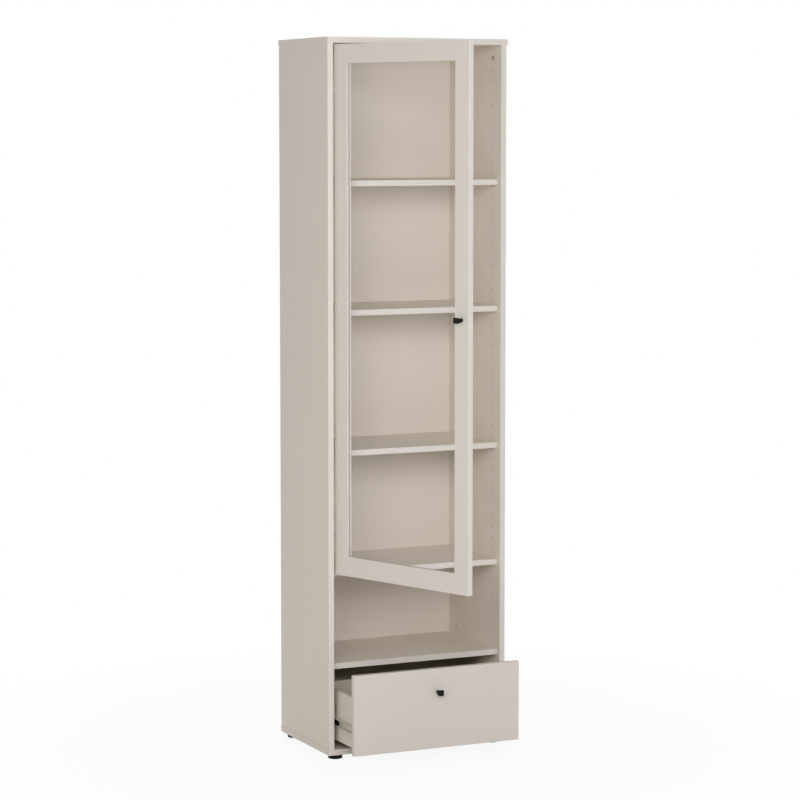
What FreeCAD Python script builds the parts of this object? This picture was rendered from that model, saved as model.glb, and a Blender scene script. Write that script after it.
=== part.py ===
import FreeCAD, Part
import math
import os

# A tall narrow bookcase: three loose shelves behind one framed glass door, an open niche and a drawer.
# Millimetres. X runs to the right, Y to the back and Z up.
# The origin lies on the floor under the middle of the case.
# The door and the drawer are drawn shut and then moved to where they stand open.

# Case
board = 16.0
case_width = 540.0
case_height = 1960.0
side_depth = 340.0
cap_side_overhang = 1.5
cap_front_overhang = 4.0
edge_round = 1.0
back_thickness = 3.0
back_inset = 15.0
groove_depth = 6.0
groove_clearance = 0.2
drawer_bay_height = 219.6

# Glides
foot_height = 14.0
foot_radius = 20.0
foot_side_set = 30.0
foot_front_set = 27.0
foot_rear_set = 25.0

# Bored rows: steps are counted upwards from the divider's middle
row_pitch = 32.0
row_head_set = 60.0
row_set_back = 51.0
row_spread = 224.0
row_bore_depth = 12.0
pin_radius = 2.5
pin_clearance = 0.05
pin_seat = 9.0
pin_reach = 9.0
fixing_pin_reach = 14.0
repeat_sides = 6
round_sides = 12
disc_sides = 22

# Shelves
shelf_recess = 21.0
divider_recess = 17.0
shelf_end_clearance = 0.75
shelf_back_clearance = 1.0
niche_rise = 256.0
lower_shelf_share = 0.23
middle_shelf_share = 0.5
upper_shelf_share = 0.75

# Corner connectors
cam_radius = 7.5
cam_depth = 12.5
cam_end_set = 34.0
cam_slot_width = 2.0
cam_slot_length = 9.0
cam_slot_depth = 2.0
bolt_radius = 3.0
bolt_bite = 11.0

# Door
door_thickness = 16.0
door_gap = 4.0
door_top_gap = 4.4
door_sill_lift = 0.4
stile_width = 50.0
top_rail_width = 51.0
bottom_rail_width = 54.0
glass_thickness = 4.0
glass_bite = 6.0
glazing_groove_width = 8.0
glazing_groove_depth = 8.0
glazing_clearance = 0.2
door_open_angle = 69.8

# Concealed hinges
hinge_end_set = 96.0
middle_hinge_rise = 64.0
arm_pin_reach = 32.0
arm_pin_set_back = 18.0
cup_pin_inset = 11.0
cup_pin_depth = 8.5
link_turn_share = -0.287
hinge_pin_radius = 1.25
hinge_pin_clearance = 0.05
cup_radius = 17.5
cup_wall = 1.5
cup_floor = 0.8
cup_depth = 12.5
cup_tab = 5.0
cup_fit = 0.05
cup_notch_depth = 1.6
flange_thickness = 1.0
flange_rim = 1.8
flange_half_length = 30.0
flange_half_width = 9.0
link_bulge = 6.5
link_half_thickness = 1.4
link_eye_radius = 2.8
link_half_width = 5.0
neck_flats = 10
arm_half_width = 7.0
arm_cheek = 1.5
arm_nose_radius = 3.0
arm_height = 10.0
arm_length = 60.0
fork_clearance = 0.7
plate_thickness = 2.0
plate_boss = 4.0
plate_boss_half_width = 6.0
plate_boss_length = 46.0
plate_half_length = 26.0
plate_half_width = 8.0
plate_screw_head_radius = 4.0
plate_screw_head = 1.5

# Knobs
knob_base = 8.5
knob_head = 16.0
knob_length = 24.0
knob_bevel = 0.5
knob_screw_radius = 2.0
knob_screw_bite = 12.0
knob_screw_head_radius = 4.0
knob_screw_head = 2.2
knob_screw_clearance = 0.1
drawer_knob_drop = 64.0

# Drawer
drawer_gap = 3.5
drawer_sill_gap = 5.4
drawer_head_gap = 1.3
drawer_front_thickness = 16.0
box_side = 12.0
box_height = 140.0
box_lift = 22.0
box_bottom_thickness = 3.0
box_bottom_rise = 10.0
box_groove = 5.0
drawer_pull = 125.0

# Ball-bearing slides
slide_thickness = 12.7
slide_height = 31.0
slide_sheet = 1.2
slide_rise = 52.5
slide_length = 250.0
slide_flange = 9.4
slide_lip = 1.1
inner_height = 20.0
inner_tip_set = 4.2
ball_clearance = 0.15
ball_set = 6.0
ball_spacing = 20.0
balls_per_row = 3
ball_sides = 6
cage_sheet = 0.8
cage_web_set = 2.4
cage_flange = 6.0
cage_length = 60.0
cage_hole_clearance = 0.1
cage_travel_share = 0.5
bumper_thickness = 1.0
bumper_height = 16.0
bumper_length = 10.0

# Every cut runs past the face that it opens by this much
overrun = 1.0
nearness = 1e-4

# Places that follow from the sizes above
half_width = case_width / 2
inner_half = half_width - board
front = -side_depth / 2
rear = side_depth / 2
base = foot_height
floor_top = base + board
roof = base + case_height - board
back_rear = rear - back_inset
back_front = back_rear - back_thickness
divider_mid = floor_top + drawer_bay_height + board / 2
row_places = (front + row_set_back, front + row_set_back + row_spread)

# The shelves and the hinges sit at whole steps of the bored rows
row_count = int((roof - divider_mid - row_head_set) / row_pitch) + 1
fixed_shelf_step = round(niche_rise / row_pitch)
shelf_steps = row_count - fixed_shelf_step
lower_shelf_step = fixed_shelf_step + round(lower_shelf_share * shelf_steps)
middle_shelf_step = fixed_shelf_step + round(middle_shelf_share * shelf_steps)
upper_shelf_step = fixed_shelf_step + round(upper_shelf_share * shelf_steps)
hinge_end_steps = round(hinge_end_set / row_pitch)
lower_hinge_step = fixed_shelf_step + hinge_end_steps
middle_hinge_step = middle_shelf_step + round(middle_hinge_rise / row_pitch)
upper_hinge_step = row_count - hinge_end_steps
fixed_shelf_mid = divider_mid + fixed_shelf_step * row_pitch

door_left = -inner_half + door_gap
door_right = inner_half - door_gap
door_back = front + door_thickness
door_bottom = fixed_shelf_mid + door_sill_lift
door_top = roof - door_top_gap
pane_left = door_left + stile_width
pane_right = door_right - stile_width
pane_bottom = door_bottom + bottom_rail_width
pane_top = door_top - top_rail_width
pane_middle = front + door_thickness / 2

cup_x = door_left + cup_tab + cup_radius
cup_inner_radius = cup_radius - cup_wall
arm_pin = FreeCAD.Vector(-inner_half + arm_pin_reach, front + arm_pin_set_back, 0)
cup_pin = FreeCAD.Vector(door_left + cup_pin_inset, front + cup_pin_depth, 0)

drawer_half = inner_half - drawer_gap
drawer_back = front + drawer_front_thickness
drawer_bottom = floor_top + drawer_sill_gap
drawer_top = divider_mid - drawer_head_gap
box_half = inner_half - slide_thickness
box_bottom = floor_top + box_lift
box_rear = drawer_back + slide_length
slide_mid = box_bottom + slide_rise
ball_gap = slide_height / 2 - slide_sheet - inner_height / 2
ball_radius = ball_gap / 2 - ball_clearance
ball_height = inner_height / 2 + ball_gap / 2

along_x = FreeCAD.Vector(1, 0, 0)
along_y = FreeCAD.Vector(0, 1, 0)
along_z = FreeCAD.Vector(0, 0, 1)
next_axis = {"x": along_y, "y": along_z, "z": along_x}
last_axis = {"x": along_z, "y": along_x, "z": along_y}
axis_vector = {"x": along_x, "y": along_y, "z": along_z}


def slab(x_limits, y_limits, z_limits):
    x_low, x_high = sorted(x_limits)
    y_low, y_high = sorted(y_limits)
    z_low, z_high = sorted(z_limits)
    corner = FreeCAD.Vector(x_low, y_low, z_low)
    return Part.makeBox(x_high - x_low, y_high - y_low, z_high - z_low, corner)


def rod(radius, start, length, axis):
    return Part.makeCylinder(radius, length, start, axis)


def flat_radius(radius, sides):
    # From the axis to a flat, for a bar with as much section as a round one of this radius
    return radius * math.sqrt(math.pi / (sides * math.tan(math.pi / sides)))


def sided_bar(radius, start, length, axis_name, sides=repeat_sides):
    # A bar with few flats, for what repeats many times: one flat faces up
    corner_radius = flat_radius(radius, sides) / math.cos(math.pi / sides)
    points = []
    for index in range(sides + 1):
        turn = (index + 1 / 2) * 2 * math.pi / sides
        sideways = next_axis[axis_name] * (corner_radius * math.sin(turn))
        upwards = last_axis[axis_name] * (corner_radius * math.cos(turn))
        points.append(start + sideways + upwards)
    return Part.Face(Part.makePolygon(points)).extrude(axis_vector[axis_name] * length)


def plan_prism(points, z_limits):
    z_low, z_high = z_limits
    corners = [FreeCAD.Vector(x, y, z_low) for x, y in points]
    face = Part.Face(Part.makePolygon(corners + corners[:1]))
    return face.extrude(FreeCAD.Vector(0, 0, z_high - z_low))


def section_prism(points, y_limits):
    y_low, y_high = y_limits
    corners = [FreeCAD.Vector(x, y_low, z) for x, z in points]
    face = Part.Face(Part.makePolygon(corners + corners[:1]))
    return face.extrude(FreeCAD.Vector(0, y_high - y_low, 0))


def eased_front(shape, place):
    # Rounds the long edges of the banded front face
    edges = []
    for edge in shape.Edges:
        box = edge.BoundBox
        on_front = abs(box.YMin - place) < nearness and abs(box.YMax - place) < nearness
        if on_front and edge.Length > board + nearness:
            edges.append(edge)
    return shape.makeFillet(edge_round, edges)


def row_height(step):
    return divider_mid + step * row_pitch


def row_bores(side):
    bores = []
    for place in row_places:
        for step in range(row_count):
            start = FreeCAD.Vector(side * (inner_half - overrun), place, row_height(step))
            bores.append(sided_bar(pin_radius, start, side * (row_bore_depth + overrun), "x"))
    return bores


def cam_places():
    places = []
    for end, outward in ((floor_top, -1), (roof, 1)):
        for place in row_places:
            places.append((place, end, outward))
    return places


def connector_bores(side):
    bores = []
    for place, end, outward in cam_places():
        centre = FreeCAD.Vector(side * (inner_half - overrun), place, end - outward * cam_end_set)
        bores.append(sided_bar(cam_radius, centre, side * (cam_depth + overrun), "x", round_sides))
        start = FreeCAD.Vector(side * (half_width - board / 2), place, end - outward * cam_end_set)
        bores.append(sided_bar(bolt_radius, start, outward * (cam_end_set + overrun), "z"))
    return bores


def back_groove(limits, z_limits):
    return slab(limits, (back_front - groove_clearance, back_rear + groove_clearance), z_limits)


def side_panel(side):
    panel = slab((side * inner_half, side * half_width), (front, rear), (floor_top, roof))
    panel = eased_front(panel, front)
    groove_limits = (side * (inner_half - overrun), side * (inner_half + groove_depth))
    groove = back_groove(groove_limits, (floor_top - overrun, roof + overrun))
    return panel.cut(row_bores(side) + connector_bores(side) + [groove])


def cap_panel(inner_face, outward):
    half_span = half_width + cap_side_overhang
    cap_front = front - cap_front_overhang
    panel = slab((-half_span, half_span), (cap_front, rear), (inner_face, inner_face + outward * board))
    panel = eased_front(panel, cap_front)
    groove_span = inner_half + groove_depth
    groove_heights = (inner_face - outward * overrun, inner_face + outward * groove_depth)
    tools = [back_groove((-groove_span, groove_span), groove_heights)]
    for side in (-1, 1):
        for place in row_places:
            start = FreeCAD.Vector(side * (half_width - board / 2), place, inner_face - outward * overrun)
            tools.append(sided_bar(bolt_radius, start, outward * (bolt_bite + overrun), "z"))
    return panel.cut(tools)


def back_panel():
    reach = groove_depth - groove_clearance
    span = inner_half + reach
    return slab((-span, span), (back_front, back_rear), (floor_top - reach, roof + reach))


def cam_locks():
    locks = []
    for side in (-1, 1):
        for place, end, outward in cam_places():
            height = end - outward * cam_end_set
            start = FreeCAD.Vector(side * inner_half, place, height)
            lock = sided_bar(cam_radius, start, side * cam_depth, "x", round_sides)
            slot = slab(
                (side * (inner_half - overrun), side * (inner_half + cam_slot_depth)),
                (place - cam_slot_width / 2, place + cam_slot_width / 2),
                (height - cam_slot_length / 2, height + cam_slot_length / 2),
            )
            locks.append(lock.cut(slot))
    return Part.makeCompound(locks)


def cam_bolts():
    bolts = []
    for side in (-1, 1):
        for place, end, outward in cam_places():
            start_height = end - outward * (cam_end_set - cam_radius)
            start = FreeCAD.Vector(side * (half_width - board / 2), place, start_height)
            length = cam_end_set - cam_radius + bolt_bite
            bolts.append(sided_bar(bolt_radius - pin_clearance, start, outward * length, "z"))
    return Part.makeCompound(bolts)


def row_pins(steps, reach):
    pins = []
    for side in (-1, 1):
        for place in row_places:
            for step in steps:
                start = FreeCAD.Vector(side * (inner_half + pin_seat), place, row_height(step))
                pins.append(sided_bar(pin_radius - pin_clearance, start, -side * (pin_seat + reach), "x"))
    return Part.makeCompound(pins)


def loose_shelf(step):
    under = row_height(step) + flat_radius(pin_radius - pin_clearance, repeat_sides)
    half_span = inner_half - shelf_end_clearance
    shelf_front = front + shelf_recess
    shelf_limits = (shelf_front, back_front - shelf_back_clearance)
    return eased_front(slab((-half_span, half_span), shelf_limits, (under, under + board)), shelf_front)


def fixed_panel(middle, recess):
    panel_front = front + recess
    heights = (middle - board / 2, middle + board / 2)
    panel = eased_front(slab((-inner_half, inner_half), (panel_front, back_front), heights), panel_front)
    bores = []
    for side in (-1, 1):
        for place in row_places:
            start = FreeCAD.Vector(side * (inner_half + overrun), place, middle)
            length = -side * (fixing_pin_reach + pin_clearance + overrun)
            bores.append(sided_bar(pin_radius, start, length, "x"))
    return panel.cut(bores)


def foot(side, place):
    centre = FreeCAD.Vector(side * (half_width - foot_side_set), place, 0)
    return sided_bar(foot_radius, centre, foot_height, "z", disc_sides)


def door_member(points):
    member = section_prism(points, (front, door_back))
    groove_reach = glazing_groove_depth
    groove = slab(
        (pane_left - groove_reach, pane_right + groove_reach),
        (pane_middle - glazing_groove_width / 2, pane_middle + glazing_groove_width / 2),
        (pane_bottom - groove_reach, pane_top + groove_reach),
    )
    long_edges = []
    for edge in member.Edges:
        box = edge.BoundBox
        on_front = abs(box.YMax - front) < nearness
        straight = min(box.XLength, box.ZLength) < nearness
        if on_front and straight:
            long_edges.append(edge)
    return member.makeFillet(edge_round, long_edges).cut(groove)


def door_members():
    outer = {
        "bottom_left": (door_left, door_bottom),
        "bottom_right": (door_right, door_bottom),
        "top_left": (door_left, door_top),
        "top_right": (door_right, door_top),
    }
    inner = {
        "bottom_left": (pane_left, pane_bottom),
        "bottom_right": (pane_right, pane_bottom),
        "top_left": (pane_left, pane_top),
        "top_right": (pane_right, pane_top),
    }
    ends = {
        "door_left_stile": ("bottom_left", "top_left"),
        "door_right_stile": ("bottom_right", "top_right"),
        "door_bottom_rail": ("bottom_left", "bottom_right"),
        "door_top_rail": ("top_left", "top_right"),
    }
    members = {}
    for name, (start, end) in ends.items():
        members[name] = door_member([outer[start], inner[start], inner[end], outer[end]])
    cup_bores = [cup_bore(height) for height in hinge_heights()]
    screw_bore = knob_screw_bore(door_knob_place(), door_thickness)
    members["door_left_stile"] = members["door_left_stile"].cut(cup_bores)
    members["door_right_stile"] = members["door_right_stile"].cut(screw_bore)
    return members


def glass_pane():
    depth = (pane_middle - glass_thickness / 2, pane_middle + glass_thickness / 2)
    width = (pane_left - glass_bite, pane_right + glass_bite)
    return slab(width, depth, (pane_bottom - glass_bite, pane_top + glass_bite))


def glazing_gasket():
    reach = glazing_groove_depth - glazing_clearance
    half_depth = glazing_groove_width / 2 - glazing_clearance / 2
    depth = (pane_middle - half_depth, pane_middle + half_depth)
    ring = slab((pane_left - reach, pane_right + reach), depth, (pane_bottom - reach, pane_top + reach))
    window = slab((pane_left, pane_right), depth, (pane_bottom, pane_top))
    return ring.cut([window, glass_pane()])


def hinge_heights():
    # Each hinge plate spans two neighbouring bores
    steps = (lower_hinge_step, middle_hinge_step, upper_hinge_step)
    return [row_height(step) + row_pitch / 2 for step in steps]


def cup_bore(height):
    start = FreeCAD.Vector(cup_x, door_back + overrun, height)
    return sided_bar(cup_radius + cup_fit, start, -(cup_depth + overrun), "y", disc_sides)


def hinge_cup(height):
    mouth = FreeCAD.Vector(cup_x, door_back, height)
    pot = sided_bar(cup_radius, mouth, -cup_depth, "y", disc_sides)
    rim = sided_bar(cup_radius + flange_rim, mouth, flange_thickness, "y", disc_sides)
    wings = slab(
        (cup_x - flange_half_width, cup_x + flange_half_width),
        (door_back, door_back + flange_thickness),
        (height - flange_half_length, height + flange_half_length),
    )
    cavity_start = mouth + along_y * (flange_thickness + overrun)
    cavity_depth = cup_depth - cup_floor + flange_thickness + overrun
    cavity = sided_bar(cup_inner_radius, cavity_start, -cavity_depth, "y", disc_sides)
    notch_half = link_half_width + arm_cheek
    notch = slab(
        (door_left, cup_x),
        (door_back - cup_notch_depth, door_back + flange_thickness + overrun),
        (height - notch_half, height + notch_half),
    )
    return pot.fuse([rim, wings]).removeSplitter().cut([cavity, notch])


def hinge_cup_pins():
    far_side = cup_x - cup_pin.x + hinge_pin_radius
    chord = math.sqrt(flat_radius(cup_inner_radius, disc_sides) ** 2 - far_side ** 2)
    pins = []
    for height in hinge_heights():
        start = FreeCAD.Vector(cup_pin.x, cup_pin.y, height - chord)
        pins.append(rod(hinge_pin_radius, start, 2 * chord, along_z))
    return Part.makeCompound(pins)


def goose_neck(heights):
    # An arc in plan from one pin to the other, bulging away from the straight line between them
    chord = arm_pin - cup_pin
    bulge_way = FreeCAD.Vector(chord.y, -chord.x, 0).normalize()
    radius = (chord.Length ** 2 / 4 + link_bulge ** 2) / (2 * link_bulge)
    centre = (arm_pin + cup_pin) * (1 / 2) + bulge_way * (link_bulge - radius)
    sweep = 2 * math.asin(chord.Length / 2 / radius)
    if link_bulge > radius:
        sweep = 2 * math.pi - sweep
    crown = math.atan2(bulge_way.y, bulge_way.x)
    outer_points = []
    inner_points = []
    for index in range(neck_flats + 1):
        angle = crown + sweep * (index / neck_flats - 1 / 2)
        way = FreeCAD.Vector(math.cos(angle), math.sin(angle), 0)
        outer = centre + way * (radius + link_half_thickness)
        inner = centre + way * (radius - link_half_thickness)
        outer_points.append((outer.x, outer.y))
        inner_points.append((inner.x, inner.y))
    return plan_prism(outer_points + inner_points[::-1], heights)


def hinge_link(height):
    # A goose neck that folds into the cup when the door is shut and reaches over its rim when it is open
    low = height - link_half_width
    width = 2 * link_half_width
    eyes = []
    bores = []
    for pin in (arm_pin, cup_pin):
        start = FreeCAD.Vector(pin.x, pin.y, low)
        eyes.append(sided_bar(link_eye_radius, start, width, "z", round_sides))
        bores.append(sided_bar(hinge_pin_radius + hinge_pin_clearance, start, width, "z", round_sides))
    return goose_neck((low, low + width)).fuse(eyes).removeSplitter().cut(bores)


def hinge_arm(height):
    low = height - arm_half_width
    high = height + arm_half_width
    seat = -inner_half + plate_thickness + plate_boss
    crown = seat + arm_height
    heel = front + arm_pin_set_back + arm_length
    bend = arm_pin.y + arm_height
    outline = [
        (seat, bend),
        (arm_pin.x - arm_nose_radius, arm_pin.y),
        (arm_pin.x, arm_pin.y - arm_nose_radius),
        (arm_pin.x + arm_nose_radius, arm_pin.y),
        (arm_pin.x, arm_pin.y + arm_nose_radius),
        (crown, bend + arm_height),
        (crown, heel),
        (seat, heel),
    ]
    arm = plan_prism(outline, (low, high))
    nose_start = FreeCAD.Vector(arm_pin.x, arm_pin.y, low)
    nose = sided_bar(arm_nose_radius, nose_start, high - low, "z", round_sides)
    fork_reach = (arm_pin - cup_pin).Length + link_eye_radius + fork_clearance
    fork_half = arm_half_width - arm_cheek
    fork = slab(
        (arm_pin.x - fork_reach, arm_pin.x + fork_reach),
        (arm_pin.y - fork_reach, arm_pin.y + fork_reach),
        (height - fork_half, height + fork_half),
    )
    bore_radius = hinge_pin_radius + hinge_pin_clearance
    pin_bore = sided_bar(bore_radius, nose_start, high - low, "z", round_sides)
    return arm.fuse(nose).removeSplitter().cut([fork, pin_bore])


def hinge_arm_pins():
    pins = []
    for height in hinge_heights():
        start = FreeCAD.Vector(arm_pin.x, arm_pin.y, height - arm_half_width)
        pins.append(rod(hinge_pin_radius, start, 2 * arm_half_width, along_z))
    return Part.makeCompound(pins)


def hinge_plate(height):
    face = -inner_half
    row = row_places[0]
    wings = slab(
        (face, face + plate_thickness),
        (row - plate_half_width, row + plate_half_width),
        (height - plate_half_length, height + plate_half_length),
    )
    heel = front + arm_pin_set_back + arm_length
    boss = slab(
        (face, face + plate_thickness + plate_boss),
        (heel - plate_boss_length, heel),
        (height - plate_boss_half_width, height + plate_boss_half_width),
    )
    bores = []
    for outward in (-1, 1):
        start = FreeCAD.Vector(face - overrun, row, height + outward * row_pitch / 2)
        bores.append(sided_bar(pin_radius, start, plate_thickness + 2 * overrun, "x"))
    return wings.fuse(boss).removeSplitter().cut(bores)


def hinge_plate_screws():
    screws = []
    for height in hinge_heights():
        for outward in (-1, 1):
            bore_height = height + outward * row_pitch / 2
            seat = FreeCAD.Vector(-inner_half + plate_thickness, row_places[0], bore_height)
            shank = sided_bar(pin_radius - pin_clearance, seat, -(plate_thickness + pin_seat), "x")
            head = sided_bar(plate_screw_head_radius, seat, plate_screw_head, "x")
            screws.append(shank.fuse(head))
    return Part.makeCompound(screws)


def door_knob_place():
    return FreeCAD.Vector(door_right - stile_width / 2, front, (door_bottom + door_top) / 2)


def drawer_knob_place():
    return FreeCAD.Vector(0, front, drawer_top - drawer_knob_drop)


def knob(place):
    head = knob_head / 2
    foot_half = knob_base / 2
    face = (-head, -knob_length, -head, -foot_half, -foot_half)
    taper = Part.makeWedge(*face, head, 0, head, foot_half, foot_half)
    taper.translate(place)
    bevel_edges = [edge for edge in taper.Edges if edge.BoundBox.YMin < front - nearness]
    taper = taper.makeChamfer(knob_bevel, bevel_edges)
    return taper.cut(sided_bar(knob_screw_radius, place, -knob_screw_bite, "y"))


def knob_screw_bore(place, thickness):
    start = place - along_y * overrun
    return sided_bar(knob_screw_radius + knob_screw_clearance, start, thickness + 2 * overrun, "y")


def knob_screw(place, thickness):
    seat = place + along_y * thickness
    shank = sided_bar(knob_screw_radius, seat, -(thickness + knob_screw_bite), "y")
    return shank.fuse(sided_bar(knob_screw_head_radius, seat, knob_screw_head, "y", round_sides))


def drawer_front():
    plate = slab((-drawer_half, drawer_half), (front, drawer_back), (drawer_bottom, drawer_top))
    return eased_front(plate, front).cut(knob_screw_bore(drawer_knob_place(), drawer_front_thickness))


def bottom_groove():
    span = box_half - box_side + box_groove
    low = box_bottom + box_bottom_rise
    depth = (drawer_back - overrun, box_rear - box_side + box_groove)
    return slab((-span, span), depth, (low, low + box_bottom_thickness))


def box_side_panel(side):
    heights = (box_bottom, box_bottom + box_height)
    panel = slab((side * (box_half - box_side), side * box_half), (drawer_back, box_rear), heights)
    return panel.cut(bottom_groove())


def box_back():
    span = box_half - box_side
    heights = (box_bottom, box_bottom + box_height)
    return slab((-span, span), (box_rear - box_side, box_rear), heights).cut(bottom_groove())


def box_bottom_panel():
    span = box_half - box_side + box_groove - groove_clearance
    low = box_bottom + box_bottom_rise
    depth = (drawer_back, box_rear - box_side + box_groove - groove_clearance)
    return slab((-span, span), depth, (low, low + box_bottom_thickness))


def across(side, reach):
    # A place that many millimetres in from the inner face of one side of the case
    return side * (inner_half - reach)


def slide_outer(side):
    half = slide_height / 2
    outline = [
        (across(side, 0), slide_mid - half),
        (across(side, slide_flange), slide_mid - half),
        (across(side, slide_flange), slide_mid - half + slide_sheet + slide_lip),
        (across(side, slide_flange - slide_sheet), slide_mid - half + slide_sheet + slide_lip),
        (across(side, slide_flange - slide_sheet), slide_mid - half + slide_sheet),
        (across(side, slide_sheet), slide_mid - half + slide_sheet),
        (across(side, slide_sheet), slide_mid + half - slide_sheet),
        (across(side, slide_flange - slide_sheet), slide_mid + half - slide_sheet),
        (across(side, slide_flange - slide_sheet), slide_mid + half - slide_sheet - slide_lip),
        (across(side, slide_flange), slide_mid + half - slide_sheet - slide_lip),
        (across(side, slide_flange), slide_mid + half),
        (across(side, 0), slide_mid + half),
    ]
    return section_prism(outline, (drawer_back, drawer_back + slide_length))


def slide_inner(side):
    half = inner_height / 2
    outline = [
        (across(side, slide_thickness), slide_mid - half),
        (across(side, slide_thickness), slide_mid + half),
        (across(side, inner_tip_set), slide_mid + half),
        (across(side, inner_tip_set), slide_mid + half - slide_sheet),
        (across(side, slide_thickness - slide_sheet), slide_mid + half - slide_sheet),
        (across(side, slide_thickness - slide_sheet), slide_mid - half + slide_sheet),
        (across(side, inner_tip_set), slide_mid - half + slide_sheet),
        (across(side, inner_tip_set), slide_mid - half),
    ]
    return section_prism(outline, (drawer_back, drawer_back + slide_length))


def ball_centres(side):
    middle = drawer_back + slide_length / 2
    centres = []
    for level in (-1, 1):
        for index in range(balls_per_row):
            offset = (index - (balls_per_row - 1) / 2) * ball_spacing
            height = slide_mid + level * ball_height
            centres.append(FreeCAD.Vector(across(side, ball_set), middle + offset, height))
    return centres


def ball(centre):
    # A small ball with few flats
    shape = None
    for axis_name in ("x", "z"):
        start = centre - axis_vector[axis_name] * ball_radius
        bar = sided_bar(ball_radius, start, 2 * ball_radius, axis_name, ball_sides)
        shape = bar if shape is None else shape.common(bar)
    return shape


def slide_balls(side):
    return Part.makeCompound([ball(centre) for centre in ball_centres(side)])


def ball_cage(side):
    outer_half = ball_height + cage_sheet / 2
    inner_level = ball_height - cage_sheet / 2
    tip = cage_web_set + cage_flange
    outline = [
        (across(side, cage_web_set), slide_mid - outer_half),
        (across(side, tip), slide_mid - outer_half),
        (across(side, tip), slide_mid - inner_level),
        (across(side, cage_web_set + cage_sheet), slide_mid - inner_level),
        (across(side, cage_web_set + cage_sheet), slide_mid + inner_level),
        (across(side, tip), slide_mid + inner_level),
        (across(side, tip), slide_mid + outer_half),
        (across(side, cage_web_set), slide_mid + outer_half),
    ]
    middle = drawer_back + slide_length / 2
    cage = section_prism(outline, (middle - cage_length / 2, middle + cage_length / 2))
    holes = []
    for centre in ball_centres(side):
        start = centre - along_z * cage_sheet
        holes.append(sided_bar(ball_radius + cage_hole_clearance, start, 2 * cage_sheet, "z", ball_sides))
    return cage.cut(holes)


def slide_bumpers():
    bumpers = []
    for side in (-1, 1):
        span = (across(side, slide_sheet), across(side, slide_sheet + bumper_thickness))
        heights = (slide_mid - bumper_height / 2, slide_mid + bumper_height / 2)
        bumpers.append(slab(span, (drawer_back, drawer_back + bumper_length), heights))
    return Part.makeCompound(bumpers)


def case_nodes():
    shapes = {
        "top_panel": cap_panel(roof, 1),
        "bottom_panel": cap_panel(floor_top, -1),
        "left_side": side_panel(-1),
        "right_side": side_panel(1),
        "back_panel": back_panel(),
        "fixed_shelf": fixed_panel(fixed_shelf_mid, shelf_recess),
        "drawer_divider": fixed_panel(divider_mid, divider_recess),
        "lower_shelf": loose_shelf(lower_shelf_step),
        "middle_shelf": loose_shelf(middle_shelf_step),
        "upper_shelf": loose_shelf(upper_shelf_step),
        "shelf_pins": row_pins((lower_shelf_step, middle_shelf_step, upper_shelf_step), pin_reach),
        "fixing_pins": row_pins((0, fixed_shelf_step), fixing_pin_reach),
        "cam_locks": cam_locks(),
        "cam_bolts": cam_bolts(),
        "slide_bumpers": slide_bumpers(),
        "left_slide_outer": slide_outer(-1),
        "right_slide_outer": slide_outer(1),
        "hinge_arm_pins": hinge_arm_pins(),
        "hinge_plate_screws": hinge_plate_screws(),
    }
    for side_name, side in (("left", -1), ("right", 1)):
        shapes["front_" + side_name + "_foot"] = foot(side, front + foot_front_set)
        shapes["rear_" + side_name + "_foot"] = foot(side, rear - foot_rear_set)
    for name, height in zip(("lower", "middle", "upper"), hinge_heights()):
        shapes[name + "_hinge_plate"] = hinge_plate(height)
        shapes[name + "_hinge_arm"] = hinge_arm(height)
    return shapes


def link_nodes():
    shapes = {}
    for name, height in zip(("lower", "middle", "upper"), hinge_heights()):
        shapes[name + "_hinge_link"] = hinge_link(height)
    return shapes


def door_nodes():
    shapes = door_members()
    shapes["door_glass"] = glass_pane()
    shapes["door_gasket"] = glazing_gasket()
    shapes["door_knob"] = knob(door_knob_place())
    shapes["door_knob_screw"] = knob_screw(door_knob_place(), door_thickness)
    shapes["hinge_cup_pins"] = hinge_cup_pins()
    for name, height in zip(("lower", "middle", "upper"), hinge_heights()):
        shapes[name + "_hinge_cup"] = hinge_cup(height)
    return shapes


def drawer_nodes():
    return {
        "drawer_front": drawer_front(),
        "drawer_left_side": box_side_panel(-1),
        "drawer_right_side": box_side_panel(1),
        "drawer_back": box_back(),
        "drawer_bottom": box_bottom_panel(),
        "drawer_knob": knob(drawer_knob_place()),
        "drawer_knob_screw": knob_screw(drawer_knob_place(), drawer_front_thickness),
        "left_slide_inner": slide_inner(-1),
        "right_slide_inner": slide_inner(1),
    }


def cage_nodes():
    return {
        "left_ball_cage": ball_cage(-1),
        "right_ball_cage": ball_cage(1),
        "left_slide_balls": slide_balls(-1),
        "right_slide_balls": slide_balls(1),
    }


def cup_pin_place(door_angle):
    # Where the pin in the cup lies when the door has turned by this many degrees
    turned = FreeCAD.Rotation(along_z, -link_turn_share * door_angle)
    return arm_pin + turned.multVec(cup_pin - arm_pin)


def pose_links(shapes, door_angle):
    for shape in shapes.values():
        shape.rotate(arm_pin, along_z, -link_turn_share * door_angle)


def pose_door(shapes, door_angle):
    shift = cup_pin_place(door_angle) - cup_pin
    for shape in shapes.values():
        shape.rotate(cup_pin, along_z, -door_angle)
        shape.translate(shift)


def pose_drawer(shapes, pull):
    for shape in shapes.values():
        shape.translate(-along_y * pull)


def all_nodes():
    case = case_nodes()
    links = link_nodes()
    door = door_nodes()
    drawer = drawer_nodes()
    cages = cage_nodes()
    pose_links(links, door_open_angle)
    pose_door(door, door_open_angle)
    pose_drawer(drawer, drawer_pull)
    pose_drawer(cages, drawer_pull * cage_travel_share)
    return {**case, **links, **door, **drawer, **cages}


def main():
    os.makedirs("parts", exist_ok=True)
    for name, shape in all_nodes().items():
        shape.exportStep("parts/" + name + ".step")
    print("link pivot", arm_pin, "door pivot", cup_pin_place(door_open_angle))


main()
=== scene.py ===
import bpy
import bmesh
import math
from mathutils import Matrix, Vector


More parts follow.
